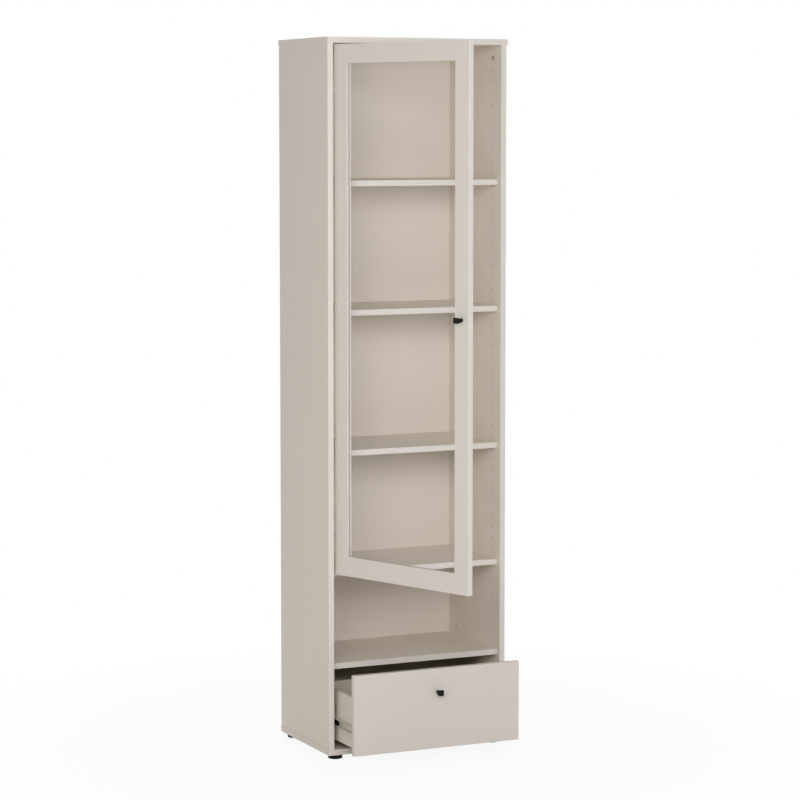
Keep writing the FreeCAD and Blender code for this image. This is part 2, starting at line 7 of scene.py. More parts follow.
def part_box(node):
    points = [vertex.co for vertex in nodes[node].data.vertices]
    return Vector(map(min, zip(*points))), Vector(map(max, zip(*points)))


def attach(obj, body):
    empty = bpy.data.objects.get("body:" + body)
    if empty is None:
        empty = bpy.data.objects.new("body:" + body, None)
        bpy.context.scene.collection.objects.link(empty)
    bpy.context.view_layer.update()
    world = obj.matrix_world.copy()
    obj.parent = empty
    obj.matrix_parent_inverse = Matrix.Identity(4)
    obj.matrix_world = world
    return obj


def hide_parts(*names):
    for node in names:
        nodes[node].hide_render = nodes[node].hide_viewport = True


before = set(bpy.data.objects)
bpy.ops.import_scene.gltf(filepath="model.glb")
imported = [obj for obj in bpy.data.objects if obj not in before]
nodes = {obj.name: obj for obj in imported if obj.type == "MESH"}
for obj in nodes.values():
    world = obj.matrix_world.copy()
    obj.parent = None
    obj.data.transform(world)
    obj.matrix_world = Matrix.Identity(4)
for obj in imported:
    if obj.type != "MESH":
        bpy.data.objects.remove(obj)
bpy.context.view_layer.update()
scene = bpy.context.scene
scene.view_settings.view_transform = "Standard"
print("frame:", len(nodes), "CAD nodes")


# small helpers for colours, groups and meshes
def paint(red, green, blue):
    # screen colour, 0 to 255, to the linear colour that a socket takes
    shares = [c / 255 for c in (red, green, blue)]
    linear = [c / 12.92 if c <= 0.04045 else ((c + 0.055) / 1.055) ** 2.4 for c in shares]
    return tuple(linear) + (1.0,)


def startGroup(name, inputs, outputs):
    tree = bpy.data.node_groups.new(name, "ShaderNodeTree")
    for label, kind, value in inputs:
        socket = tree.interface.new_socket(name=label, in_out="INPUT", socket_type="NodeSocket" + kind)
        socket.default_value = value
    for label, kind in outputs:
        tree.interface.new_socket(name=label, in_out="OUTPUT", socket_type="NodeSocket" + kind)
    return tree, tree.nodes.new("NodeGroupInput"), tree.nodes.new("NodeGroupOutput")


def mathNode(tree, operation, first, second=None, clamp=False):
    node = tree.nodes.new("ShaderNodeMath")
    node.operation = operation
    node.use_clamp = clamp
    for index, value in enumerate((first, second)):
        if value is None:
            continue
        if isinstance(value, (int, float)):
            node.inputs[index].default_value = value
        else:
            tree.links.new(value, node.inputs[index])
    return node.outputs[0]


def noiseNode(tree, coords, scale, detail=2.0, roughness=0.5):
    node = tree.nodes.new("ShaderNodeTexNoise")
    node.inputs["Detail"].default_value = detail
    node.inputs["Roughness"].default_value = roughness
    if isinstance(scale, (int, float)):
        node.inputs["Scale"].default_value = scale
    else:
        tree.links.new(scale, node.inputs["Scale"])
    tree.links.new(coords, node.inputs["Vector"])
    return node.outputs[0]


def scaledColour(tree, colour, tone):
    node = tree.nodes.new("ShaderNodeVectorMath")
    node.operation = "SCALE"
    tree.links.new(colour, node.inputs[0])
    tree.links.new(tone, node.inputs["Scale"])
    return node.outputs[0]


def mixColour(tree, share, first, second):
    node = tree.nodes.new("ShaderNodeMix")
    node.data_type = "RGBA"
    tree.links.new(share, node.inputs[0])
    for index, value in ((6, first), (7, second)):
        if isinstance(value, tuple):
            node.inputs[index].default_value = value
        else:
            tree.links.new(value, node.inputs[index])
    return node.outputs[2]


# shader groups that several finishes share
def makeBoardGrain():
    # pearl structure of a coated board: fine flecks over slow clouds of tone
    tree, inside, outside = startGroup(
        "boardGrain",
        [("Color", "Color", (0.6, 0.6, 0.6, 1)), ("Fleck Scale", "Float", 900.0), ("Fleck Amount", "Float", 0.05),
         ("Cloud Amount", "Float", 0.03), ("Rough Middle", "Float", 0.5), ("Rough Spread", "Float", 0.15)],
        [("Color", "Color"), ("Roughness", "Float"), ("Height", "Float")],
    )
    coords = tree.nodes.new("ShaderNodeTexCoord").outputs["Object"]
    fleck = noiseNode(tree, coords, inside.outputs["Fleck Scale"], 3.0, 0.6)
    cloud = noiseNode(tree, coords, 5.0, 3.0, 0.55)
    fleckSwing = mathNode(tree, "SUBTRACT", fleck, 0.5)
    cloudSwing = mathNode(tree, "SUBTRACT", cloud, 0.5)
    fleckTone = mathNode(tree, "MULTIPLY", fleckSwing, inside.outputs["Fleck Amount"])
    cloudTone = mathNode(tree, "MULTIPLY", cloudSwing, inside.outputs["Cloud Amount"])
    tone = mathNode(tree, "ADD", mathNode(tree, "ADD", fleckTone, cloudTone), 1.0)
    tree.links.new(scaledColour(tree, inside.outputs["Color"], tone), outside.inputs["Color"])
    spread = mathNode(tree, "MULTIPLY", fleckSwing, inside.outputs["Rough Spread"])
    rough = mathNode(tree, "ADD", spread, inside.outputs["Rough Middle"], clamp=True)
    tree.links.new(rough, outside.inputs["Roughness"])
    tree.links.new(fleck, outside.inputs["Height"])
    return tree


def makeFacingMask():
    # white where the surface faces one way, in the piece's own axes
    tree, inside, outside = startGroup(
        "facingMask", [("Direction", "Vector", (0.0, -1.0, 0.0))], [("Mask", "Float")])
    dot = tree.nodes.new("ShaderNodeVectorMath")
    dot.operation = "DOT_PRODUCT"
    tree.links.new(tree.nodes.new("ShaderNodeTexCoord").outputs["Normal"], dot.inputs[0])
    tree.links.new(inside.outputs["Direction"], dot.inputs[1])
    ramp = tree.nodes.new("ShaderNodeMapRange")
    ramp.interpolation_type = "SMOOTHSTEP"
    ramp.inputs["From Min"].default_value = 0.55
    ramp.inputs["From Max"].default_value = 0.85
    tree.links.new(dot.outputs["Value"], ramp.inputs["Value"])
    tree.links.new(ramp.outputs["Result"], outside.inputs["Mask"])
    return tree


def makeChipCore():
    # raw particle board: pressed chips of several browns
    tree, inside, outside = startGroup(
        "chipCore",
        [("Chip Scale", "Float", 420.0), ("Dark", "Color", paint(126, 98, 68)),
         ("Light", "Color", paint(196, 166, 126))],
        [("Color", "Color"), ("Height", "Float")])
    coords = tree.nodes.new("ShaderNodeTexCoord").outputs["Object"]
    chips = tree.nodes.new("ShaderNodeTexVoronoi")
    tree.links.new(coords, chips.inputs["Vector"])
    tree.links.new(inside.outputs["Chip Scale"], chips.inputs["Scale"])
    shade = tree.nodes.new("ShaderNodeSeparateColor")
    tree.links.new(chips.outputs["Color"], shade.inputs[0])
    colour = mixColour(tree, shade.outputs[0], inside.outputs["Dark"], inside.outputs["Light"])
    tree.links.new(colour, outside.inputs["Color"])
    tree.links.new(chips.outputs["Distance"], outside.inputs["Height"])
    return tree


def makeLinenFoil():
    # printed foil with a faint woven look
    tree, inside, outside = startGroup(
        "linenFoil",
        [("Color", "Color", (0.4, 0.4, 0.4, 1)), ("Thread Scale", "Float", 260.0), ("Amount", "Float", 0.1)],
        [("Color", "Color"), ("Height", "Float")])
    coords = tree.nodes.new("ShaderNodeTexCoord").outputs["Object"]
    threads = []
    for stretch in ((1.0, 0.06, 0.06), (0.06, 1.0, 0.06), (0.06, 0.06, 1.0)):
        scaled = tree.nodes.new("ShaderNodeVectorMath")
        scaled.operation = "MULTIPLY"
        scaled.inputs[1].default_value = stretch
        tree.links.new(coords, scaled.inputs[0])
        threads.append(noiseNode(tree, scaled.outputs[0], inside.outputs["Thread Scale"], 1.0))
    total = mathNode(tree, "ADD", mathNode(tree, "ADD", threads[0], threads[1]), threads[2])
    swing = mathNode(tree, "MULTIPLY", mathNode(tree, "SUBTRACT", total, 1.5), inside.outputs["Amount"])
    tone = mathNode(tree, "ADD", swing, 1.0)
    tree.links.new(scaledColour(tree, inside.outputs["Color"], tone), outside.inputs["Color"])
    tree.links.new(total, outside.inputs["Height"])
    return tree


def makePlatedSkin():
    # plating or paint on metal: slow blotches, fine drawn scratches along one axis
    tree, inside, outside = startGroup(
        "platedSkin",
        [("Color", "Color", (0.6, 0.6, 0.6, 1)), ("Blotch Scale", "Float", 160.0),
         ("Scratch Scale", "Float", 1800.0), ("Amount", "Float", 0.12),
         ("Rough Middle", "Float", 0.32), ("Rough Spread", "Float", 0.2),
         ("Stretch", "Vector", (1.0, 0.05, 1.0))],
        [("Color", "Color"), ("Roughness", "Float"), ("Height", "Float")])
    coords = tree.nodes.new("ShaderNodeTexCoord").outputs["Object"]
    drawn = tree.nodes.new("ShaderNodeVectorMath")
    drawn.operation = "MULTIPLY"
    tree.links.new(coords, drawn.inputs[0])
    tree.links.new(inside.outputs["Stretch"], drawn.inputs[1])
    blotch = noiseNode(tree, coords, inside.outputs["Blotch Scale"], 2.0)
    scratch = noiseNode(tree, drawn.outputs[0], inside.outputs["Scratch Scale"], 2.0)
    both = mathNode(tree, "MULTIPLY", mathNode(tree, "ADD", blotch, scratch), 0.5)
    swing = mathNode(tree, "SUBTRACT", both, 0.5)
    tone = mathNode(tree, "ADD", mathNode(tree, "MULTIPLY", swing, inside.outputs["Amount"]), 1.0)
    tree.links.new(scaledColour(tree, inside.outputs["Color"], tone), outside.inputs["Color"])
    spread = mathNode(tree, "MULTIPLY", swing, inside.outputs["Rough Spread"])
    rough = mathNode(tree, "ADD", spread, inside.outputs["Rough Middle"], clamp=True)
    tree.links.new(rough, outside.inputs["Roughness"])
    tree.links.new(scratch, outside.inputs["Height"])
    return tree


groups = {
    "boardGrain": makeBoardGrain(),
    "facingMask": makeFacingMask(),
    "chipCore": makeChipCore(),
    "linenFoil": makeLinenFoil(),
    "platedSkin": makePlatedSkin(),
}
print("shader groups:", ", ".join(sorted(groups)))


# finishes
def newFinish(name):
    finish = bpy.data.materials.new(name)
    finish.use_nodes = True
    return finish, finish.node_tree, finish.node_tree.nodes["Principled BSDF"]


def placeGroup(tree, name, values):
    node = tree.nodes.new("ShaderNodeGroup")
    node.node_tree = groups[name]
    for label, value in values.items():
        node.inputs[label].default_value = value
    return node


def addBump(tree, shader, height, strength, distance):
    bump = tree.nodes.new("ShaderNodeBump")
    bump.inputs["Strength"].default_value = strength
    bump.inputs["Distance"].default_value = distance
    tree.links.new(height, bump.inputs["Height"])
    tree.links.new(bump.outputs["Normal"], shader.inputs["Normal"])


bumpReach = {"board": 0.0003, "metal": 0.0001}
boardRoughSpread = 0.16
stainLook = {"Fleck Scale": 90.0, "Fleck Amount": 0.22, "Cloud Amount": 0.3}


def boardFinish(name, look):
    finish, tree, shader = newFinish(name)
    shader.inputs["Specular IOR Level"].default_value = look["shine"]
    grain = placeGroup(tree, "boardGrain", {
        "Color": look["face"], "Fleck Scale": look["fleckScale"], "Fleck Amount": look["fleck"],
        "Cloud Amount": look["cloud"], "Rough Middle": look["rough"], "Rough Spread": boardRoughSpread})
    colour = grain.outputs["Color"]
    # faces turned one way take their own edge tone: the banded front edges of the case, and the door's free edge
    # painted whiter as a painted highlight
    if "edgeTone" in look:
        mask = placeGroup(tree, "facingMask", {"Direction": look["edgeWay"]})
        colour = mixColour(tree, mask.outputs["Mask"], colour, look["edgeTone"])
    if "rawWay" in look:
        raw = placeGroup(tree, "facingMask", {"Direction": look["rawWay"]})
        chips = placeGroup(tree, "chipCore", look["raw"])
        stain = placeGroup(tree, "boardGrain", stainLook)
        tree.links.new(chips.outputs["Color"], stain.inputs["Color"])
        colour = mixColour(tree, raw.outputs["Mask"], colour, stain.outputs["Color"])
    tree.links.new(colour, shader.inputs["Base Color"])
    tree.links.new(grain.outputs["Roughness"], shader.inputs["Roughness"])
    addBump(tree, shader, grain.outputs["Height"], look["bump"], bumpReach["board"])
    return finish


# one decor for case and fronts: this case copy is painted lighter than the front copy, painted light that lifts
# the shaded inside
litCaseLook = {
    "face": paint(230, 221, 210), "edgeTone": paint(226, 220, 213), "edgeWay": (0.0, -1.0, 0.0),
    "rawWay": (0.0, 1.0, 0.0),
    "raw": {"Chip Scale": 420.0, "Dark": paint(126, 98, 68), "Light": paint(196, 166, 126)},
    "fleckScale": 700.0, "fleck": 0.06, "cloud": 0.035, "rough": 0.5, "bump": 0.12, "shine": 0.35,
}
# the front copy of the same decor is painted darker: painted shade on the drawer front and the door
shadedFrontLook = {
    "face": paint(219, 211, 203), "fleckScale": 700.0, "fleck": 0.05, "cloud": 0.03,
    "rough": 0.46, "bump": 0.1, "shine": 0.38,
}
# the door copy takes the darker front face (painted shade) and paints its free edge, which faces the light,
# whiter: a painted highlight
doorLook = dict(shadedFrontLook, edgeTone=paint(231, 227, 222), edgeWay=(0.345, -0.938, 0.0))
# the back's face is painted as light as the case copy: painted light for the shaded inside
backLook = {
    "face": paint(230, 221, 211), "rawWay": (0.0, 1.0, 0.0),
    "raw": {"Chip Scale": 900.0, "Dark": paint(140, 112, 80), "Light": paint(178, 148, 110)},
    "fleckScale": 420.0, "fleck": 0.09, "cloud": 0.05, "rough": 0.58, "bump": 0.16, "shine": 0.3,
}
gasketLook = {
    "face": paint(206, 197, 187), "fleckScale": 1200.0, "fleck": 0.08, "cloud": 0.06,
    "rough": 0.5, "bump": 0.1, "shine": 0.4,
}
plasticLook = {
    "face": paint(6, 6, 6), "fleckScale": 1600.0, "fleck": 0.5, "cloud": 0.3,
    "rough": 0.55, "bump": 0.25, "shine": 0.15,
}


foilLook = {"shine": 0.35, "fleckScale": 600.0, "bump": 0.1}


def foilFinish(name, look):
    finish, tree, shader = newFinish(name)
    shader.inputs["Specular IOR Level"].default_value = foilLook["shine"]
    linen = placeGroup(tree, "linenFoil", {
        "Color": look["face"], "Thread Scale": look["threads"], "Amount": look["amount"]})
    grain = placeGroup(tree, "boardGrain", {
        "Rough Middle": look["rough"], "Fleck Scale": foilLook["fleckScale"]})
    tree.links.new(linen.outputs["Color"], shader.inputs["Base Color"])
    tree.links.new(grain.outputs["Roughness"], shader.inputs["Roughness"])
    addBump(tree, shader, linen.outputs["Height"], foilLook["bump"], bumpReach["board"])
    return finish


drawerBoardLook = {"face": paint(216, 208, 193), "threads": 900.0, "amount": 0.1, "rough": 0.5}
hardboardLook = {"face": paint(188, 175, 154), "threads": 1500.0, "amount": 0.2, "rough": 0.6}


def metalFinish(name, look):
    finish, tree, shader = newFinish(name)
    shader.inputs["Metallic"].default_value = look["metallic"]
    shader.inputs["Specular IOR Level"].default_value = look.get("shine", 0.5)
    skin = placeGroup(tree, "platedSkin", {
        "Color": look["face"], "Blotch Scale": look["blotch"], "Scratch Scale": look["scratch"],
        "Amount": look["amount"], "Rough Middle": look["rough"], "Rough Spread": look["spread"],
        "Stretch": look["stretch"]})
    tree.links.new(skin.outputs["Color"], shader.inputs["Base Color"])
    tree.links.new(skin.outputs["Roughness"], shader.inputs["Roughness"])
    addBump(tree, shader, skin.outputs["Height"], look["bump"], bumpReach["metal"])
    return finish


steelLook = {
    "face": paint(205, 205, 202), "metallic": 1.0, "blotch": 220.0, "scratch": 2600.0, "amount": 0.16,
    "rough": 0.3, "spread": 0.25, "stretch": (1.0, 0.04, 1.0), "bump": 0.08,
}
zincLook = {
    "face": paint(178, 172, 163), "metallic": 0.35, "blotch": 900.0, "scratch": 1200.0, "amount": 0.3,
    "rough": 0.45, "spread": 0.3, "stretch": (1.0, 1.0, 1.0), "bump": 0.2,
}
slideCoatLook = {
    "face": paint(196, 190, 179), "metallic": 0.15, "blotch": 260.0, "scratch": 1400.0, "amount": 0.14,
    "rough": 0.42, "spread": 0.22, "stretch": (1.0, 0.1, 1.0), "bump": 0.08,
}
blackCoatLook = {
    "face": paint(5, 5, 6), "metallic": 0.0, "blotch": 300.0, "scratch": 1500.0, "amount": 0.5,
    "rough": 0.42, "spread": 0.25, "stretch": (1.0, 1.0, 1.0), "bump": 0.18, "shine": 0.16,
}


def glassFinish(name, look):
    finish, tree, shader = newFinish(name)
    shader.inputs["Base Color"].default_value = look["tint"]
    shader.inputs["Transmission Weight"].default_value = 1.0
    shader.inputs["IOR"].default_value = look["index"]
    shader.inputs["Specular Tint"].default_value = look["mirror"]
    coords = tree.nodes.new("ShaderNodeTexCoord").outputs["Object"]
    smudge = noiseNode(tree, coords, look["smudgeScale"], 3.0)
    tree.links.new(mathNode(tree, "MULTIPLY", smudge, look["smudge"]), shader.inputs["Roughness"])
    # lamps and light off matt boards reach what stands behind the pane, each once
    path = tree.nodes.new("ShaderNodeLightPath")
    through = tree.nodes.new("ShaderNodeBsdfTransparent")
    surface = shader.outputs[0]
    for ray in ("Is Diffuse Ray", "Is Shadow Ray"):
        blend = tree.nodes.new("ShaderNodeMixShader")
        tree.links.new(path.outputs[ray], blend.inputs[0])
        tree.links.new(surface, blend.inputs[1])
        tree.links.new(through.outputs[0], blend.inputs[2])
        surface = blend.outputs[0]
    tree.links.new(surface, tree.nodes["Material Output"].inputs["Surface"])
    return finish


glassLook = {
    "tint": (0.985, 0.992, 0.988, 1.0), "mirror": (0.25, 0.25, 0.25, 1.0), "index": 1.5,
    "smudge": 0.03, "smudgeScale": 9.0,
}
boreLook = {"Chip Scale": 1500.0, "Dark": paint(172, 152, 130), "Light": paint(206, 190, 170)}
boreSurface = {"rough": 0.8, "bump": 0.3}


def rawBoreFinish():
    # the drilled wall of a bore shows the board's core
    finish, tree, shader = newFinish("rawBore")
    chips = placeGroup(tree, "chipCore", boreLook)
    tree.links.new(chips.outputs["Color"], shader.inputs["Base Color"])
    shader.inputs["Roughness"].default_value = boreSurface["rough"]
    addBump(tree, shader, chips.outputs["Height"], boreSurface["bump"], bumpReach["board"])
    return finish


finishes = {
    "litCaseBoard": boardFinish("litCaseBoard", litCaseLook),
    "shadedFrontBoard": boardFinish("shadedFrontBoard", shadedFrontLook),
    "doorBoard": boardFinish("doorBoard", doorLook),
    "backBoard": boardFinish("backBoard", backLook),
    "glazingLip": boardFinish("glazingLip", gasketLook),
    "blackPlastic": boardFinish("blackPlastic", plasticLook),
    "drawerBoard": foilFinish("drawerBoard", drawerBoardLook),
    "hardboard": foilFinish("hardboard", hardboardLook),
    "platedSteel": metalFinish("platedSteel", steelLook),
    "castZinc": metalFinish("castZinc", zincLook),
    "slideCoat": metalFinish("slideCoat", slideCoatLook),
    "blackCoat": metalFinish("blackCoat", blackCoatLook),
    "clearPane": glassFinish("clearPane", glassLook),
    "rawBore": rawBoreFinish(),
}
nodeFinish = {
    "litCaseBoard": ["top_panel", "bottom_panel", "left_side", "right_side", "fixed_shelf", "drawer_divider",
                  "lower_shelf", "middle_shelf", "upper_shelf"],
    "shadedFrontBoard": ["drawer_front"],
    "doorBoard": ["door_left_stile", "door_right_stile", "door_bottom_rail", "door_top_rail"],
    "backBoard": ["back_panel"],
    "drawerBoard": ["drawer_left_side", "drawer_right_side", "drawer_back"],
    "hardboard": ["drawer_bottom"],
    "glazingLip": ["door_gasket"],
    "clearPane": ["door_glass"],
    "blackPlastic": ["slide_bumpers", "front_left_foot", "front_right_foot", "rear_left_foot", "rear_right_foot"],
    "castZinc": ["cam_locks"],
    "slideCoat": ["left_slide_inner", "right_slide_inner", "left_slide_outer", "right_slide_outer"],
    "blackCoat": ["door_knob", "drawer_knob"],
}
dressed = {node: finish for finish, names in nodeFinish.items() for node in names}
for name, node in nodes.items():
    node.data.materials.clear()
    node.data.materials.append(finishes[dressed.get(name, "platedSteel")])
print("finishes:", len(finishes), "on", len(nodes), "nodes")


# places in the row frame, in metres
case = {
    "innerHalf": 0.254, "front": -0.170, "rowStart": 0.2576, "rowPitch": 0.032, "rowCount": 52,
    "rowPlaces": (-0.119, 0.105), "shelfSteps": (18, 30, 41), "panelSteps": (0, 8), "hingeSteps": (11, 32, 49),
    "floorTop": 0.030, "roof": 1.958,
}
doorSwing = {"openAngle": 69.8, "pinShut": (-0.239, -0.1615, 0.0), "pinOpen": (-0.2347172, -0.1667487, 0.0)}
drawerSlide = {"pull": 0.125}
doorPlace = (
    Matrix.Translation(doorSwing["pinOpen"])
    @ Matrix.Rotation(math.radians(-doorSwing["openAngle"]), 4, "Z")
    @ Matrix.Translation(-Vector(doorSwing["pinShut"]))
)
drawerPlace = Matrix.Translation((0.0, -drawerSlide["pull"], 0.0))


def rowHeight(step):
    return case["rowStart"] + step * case["rowPitch"]


def hingeHeights():
    return [rowHeight(step) + case["rowPitch"] / 2 for step in case["hingeSteps"]]


# mesh makers
sharpAngle = 35.0


def finishPiece(mesh, name, finish, body, smooth=True, replaced=()):
    data = bpy.data.meshes.new(name)
    bmesh.ops.recalc_face_normals(mesh, faces=mesh.faces)
    mesh.to_mesh(data)
    mesh.free()
    piece = bpy.data.objects.new(name, data)
    scene.collection.objects.link(piece)
    data.materials.append(finishes[finish])
    if smooth:
        for face in data.polygons:
            face.use_smooth = True
        data.set_sharp_from_angle(angle=math.radians(sharpAngle))
    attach(piece, body)
    if replaced:
        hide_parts(*replaced)
    return piece


def addTurned(mesh, profile, place, segments):
    # profile: (radius, height) pairs up the local Z axis
    rings = []
    for radius, height in profile:
        ring = []
        for index in range(segments):
            angle = 2 * math.pi * index / segments
            point = Vector((radius * math.cos(angle), radius * math.sin(angle), height))
            ring.append(mesh.verts.new(place @ point))
        rings.append(ring)
    for lower, upper in zip(rings, rings[1:]):
        for index in range(segments):
            after = (index + 1) % segments
            mesh.faces.new((lower[index], lower[after], upper[after], upper[index]))
    return rings


def closeRing(mesh, ring):
    mesh.faces.new(ring)


def along(axis, point):
    # local Z turned to an axis of the case, set at a point
    return Matrix.Translation(point) @ Vector(axis).to_track_quat("Z", "Y").to_matrix().to_4x4()


# a screw head in shares of its radius and height
head = {"dome": ((1.0, 0.0), (1.0, 0.35), (0.93, 0.7), (0.78, 0.95)), "segments": 24, "shankSegments": 16,
        "arm": 0.55, "half": 0.13, "depth": 0.6, "pit": 0.8}


def addScrew(mesh, place, radius, height, shank=0.0, shankRadius=0.0):
    # domed head with a cross recess
    segments = head["segments"]
    profile = [(radius * wide, height * rise) for wide, rise in head["dome"]]
    rings = addTurned(mesh, profile, place, segments)
    arm, half, depth = radius * head["arm"], radius * head["half"], height * head["depth"]
    taper = head["pit"]
    cross = [(arm, -half), (arm, half), (half, half), (half, arm), (-half, arm), (-half, half),
             (-arm, half), (-arm, -half), (-half, -half), (-half, -arm), (half, -arm), (half, -half)]
    rim = [mesh.verts.new(place @ Vector((x, y, height))) for x, y in cross]
    pit = [mesh.verts.new(place @ Vector((x * taper, y * taper, height - depth))) for x, y in cross]
    top = rings[-1]
    outerEdges = [mesh.edges.get((top[i], top[(i + 1) % segments])) for i in range(segments)]
    rimEdges = [mesh.edges.new((rim[i], rim[(i + 1) % len(rim)])) for i in range(len(rim))]
    bmesh.ops.triangle_fill(mesh, use_beauty=True, edges=outerEdges + rimEdges)
    for index in range(len(rim)):
        after = (index + 1) % len(rim)
        mesh.faces.new((rim[index], rim[after], pit[after], pit[index]))
    mesh.faces.new(pit)
    if shank:
        stem = addTurned(mesh, [(shankRadius, -shank), (shankRadius, 0.0)], place, head["shankSegments"])
        closeRing(mesh, stem[0])
    closeRing(mesh, rings[0])


# glides under the case
glide = {
    "segments": 56, "weld": 1e-6,
    "profile": [(0.0, 0.0), (0.0182, 0.0), (0.0191, 0.0003), (0.0196, 0.0010), (0.0199, 0.0022),
                (0.0199, 0.0066), (0.0199, 0.0090), (0.0193, 0.0093), (0.0193, 0.0101), (0.0199, 0.0104),
                (0.0199, 0.0122), (0.0194, 0.0131), (0.0186, 0.0140), (0.0, 0.0140)],
}


def makeGlides():
    for name in ("front_left", "front_right", "rear_left", "rear_right"):
        low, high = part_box(name + "_foot")
        centre = Vector(((low.x + high.x) / 2, (low.y + high.y) / 2, low.z))
        mesh = bmesh.new()
        addTurned(mesh, glide["profile"], Matrix.Translation(centre), glide["segments"])
        bmesh.ops.remove_doubles(mesh, verts=mesh.verts, dist=glide["weld"])
        words = name.split("_")
        label = words[0] + words[1].title() + "Glide"
        finishPiece(mesh, label, "blackPlastic", "carcass", replaced=(name + "_foot",))


makeGlides()
print("glides: 4 turned discs")


# knobs
knob = {"base": 0.0085, "head": 0.016, "length": 0.024, "soft": 0.0007, "dish": 0.0005,
        "collar": 0.0015, "rim": 0.0012, "level": 1e-6,
        "doorPlace": (0.225, -0.170, 1.2338), "drawerPlace": (0.0, -0.170, 0.1923)}


def makeKnob(name, place, body, node):
    # a square taper that widens to a shallow dished head
    mesh = bmesh.new()
    foot, wide, length = knob["base"] / 2, knob["head"] / 2, knob["length"]
    levels = [(foot, 0.0), (foot, knob["collar"]), (wide, length)]
    rings = []
    for half, out in levels:
        corners = ((-half, -half), (half, -half), (half, half), (-half, half))
        rings.append([mesh.verts.new((x, -out, z)) for x, z in corners])
    for lower, upper in zip(rings, rings[1:]):
        for index in range(4):
            after = (index + 1) % 4
            mesh.faces.new((lower[index], lower[after], upper[after], upper[index]))
    mesh.faces.new(rings[0])
    mesh.faces.new(rings[-1])
    rounded = []
    for edge in mesh.edges:
        near, far = sorted(corner.co.y for corner in edge.verts)
        if far - near > knob["level"] or near < -length + knob["level"]:
            rounded.append(edge)
    bmesh.ops.bevel(mesh, geom=rounded, offset=knob["soft"], segments=3, affect="EDGES", profile=0.5)
    face = min(mesh.faces, key=lambda side: side.calc_center_median().y)
    bmesh.ops.inset_region(mesh, faces=[face], thickness=knob["rim"], depth=-knob["dish"])
    mesh.transform(place)
    return finishPiece(mesh, name, "blackCoat", body, replaced=(node,))


makeKnob("doorKnob", doorPlace @ Matrix.Translation(knob["doorPlace"]), "door", "door_knob")
makeKnob("drawerKnob", drawerPlace @ Matrix.Translation(knob["drawerPlace"]), "drawer", "drawer_knob")
print("knobs: 2")


# bored rows: round rims and raw walls in the bores that hold nothing
bore = {"rim": 0.0029, "wall": 0.00233, "chamfer": 0.0003, "proud": 0.00003, "depth": 0.010, "segments": 18}
plateSteps = tuple(step + 1 for step in case["hingeSteps"]) + case["hingeSteps"]
filledSteps = {
    "leftFront": set(case["shelfSteps"] + case["panelSteps"] + plateSteps),
    "other": set(case["shelfSteps"] + case["panelSteps"]),
}


def makeBores():
    profile = [(bore["rim"], bore["proud"]), (bore["wall"] + bore["chamfer"], bore["proud"]),
               (bore["wall"], -bore["chamfer"]), (bore["wall"], -bore["depth"])]
    count = 0
    for sideName, side in (("left", -1), ("right", 1)):
        mesh = bmesh.new()
        for row, depth in enumerate(case["rowPlaces"]):
            filled = filledSteps["leftFront"] if sideName == "left" and row == 0 else filledSteps["other"]
            for step in range(case["rowCount"]):
                if step in filled:
                    continue
                place = along((-side, 0, 0), (side * case["innerHalf"], depth, rowHeight(step)))
                rings = addTurned(mesh, profile, place, bore["segments"])
                closeRing(mesh, rings[-1])
                count += 1
        finishPiece(mesh, sideName + "BoreRims", "rawBore", "carcass")
    return count


print("bores:", makeBores(), "rims")


# shelf pins with a thin collar
peg = {"radius": 0.00232, "reach": 0.009, "seat": 0.008, "collar": 0.0036, "collarThick": 0.0006, "tip": 0.0005,
       "segments": 24}


def makePegs():
    mesh = bmesh.new()
    profile = [(peg["radius"], -peg["seat"]), (peg["radius"], 0.0), (peg["collar"], 0.0),
               (peg["collar"], peg["collarThick"]), (peg["radius"], peg["collarThick"]),
               (peg["radius"], peg["reach"] - peg["tip"]),
               (peg["radius"] - peg["tip"], peg["reach"])]
    for side in (-1, 1):
        for depth in case["rowPlaces"]:
            for step in case["shelfSteps"]:
                place = along((-side, 0, 0), (side * case["innerHalf"], depth, rowHeight(step)))
                rings = addTurned(mesh, profile, place, peg["segments"])
                closeRing(mesh, rings[0])
                closeRing(mesh, rings[-1])
    finishPiece(mesh, "shelfPegs", "platedSteel", "carcass", replaced=("shelf_pins",))


makePegs()
print("shelf pegs: 12")


# cam discs at the corners
cam = {"radius": 0.0074, "depth": 0.0125, "endSet": 0.034, "rimWidth": 0.0009, "sunk": 0.0006, "dome": 0.0019,
       "wall": 0.0005, "segments": 40}


def makeCams():
    mesh = bmesh.new()
    radius = cam["radius"]
    profile = [(radius, -cam["depth"]), (radius, 0.0), (radius - cam["rimWidth"], 0.0)]
    for side in (-1, 1):
        for depth in case["rowPlaces"]:
            for height in (case["floorTop"] + cam["endSet"], case["roof"] - cam["endSet"]):
                point = Vector((side * case["innerHalf"], depth, height))
                rings = addTurned(mesh, profile, along((-side, 0, 0), point), cam["segments"])
                closeRing(mesh, rings[0])
                sunk = along((-side, 0, 0), point + Vector((side * cam["sunk"], 0, 0)))
                inner = radius - cam["rimWidth"]
                addScrew(mesh, sunk @ Matrix.Translation((0, 0, -cam["dome"])), inner, cam["dome"])
                addTurned(mesh, [(inner, cam["sunk"]), (inner, -cam["wall"])], sunk, cam["segments"])
    finishPiece(mesh, "camDiscs", "castZinc", "carcass", replaced=("cam_locks",))


makeCams()
print("cam discs: 8")


# screws on the hinges, the slides and the knobs
screws = {
    "plate": {"radius": 0.0040, "height": 0.0016, "plateFace": -0.252, "row": -0.119,
              "shank": 0.010, "shankRadius": 0.0023},
    "arm": {"radius": 0.0030, "height": 0.0009, "armFace": -0.238, "places": (-0.1235, -0.1015)},
    "cup": {"radius": 0.0033, "height": 0.0010, "cupX": -0.2275, "flange": -0.153, "spread": 0.0235},
    "slide": {"radius": 0.0030, "height": 0.0011, "web": 0.2425, "places": (-0.102, -0.069, 0.070),
              "mid": 0.1045},
    "knob": {"radius": 0.0040, "height": 0.0022, "shank": 0.020, "shankRadius": 0.0019, "board": 0.016},
}


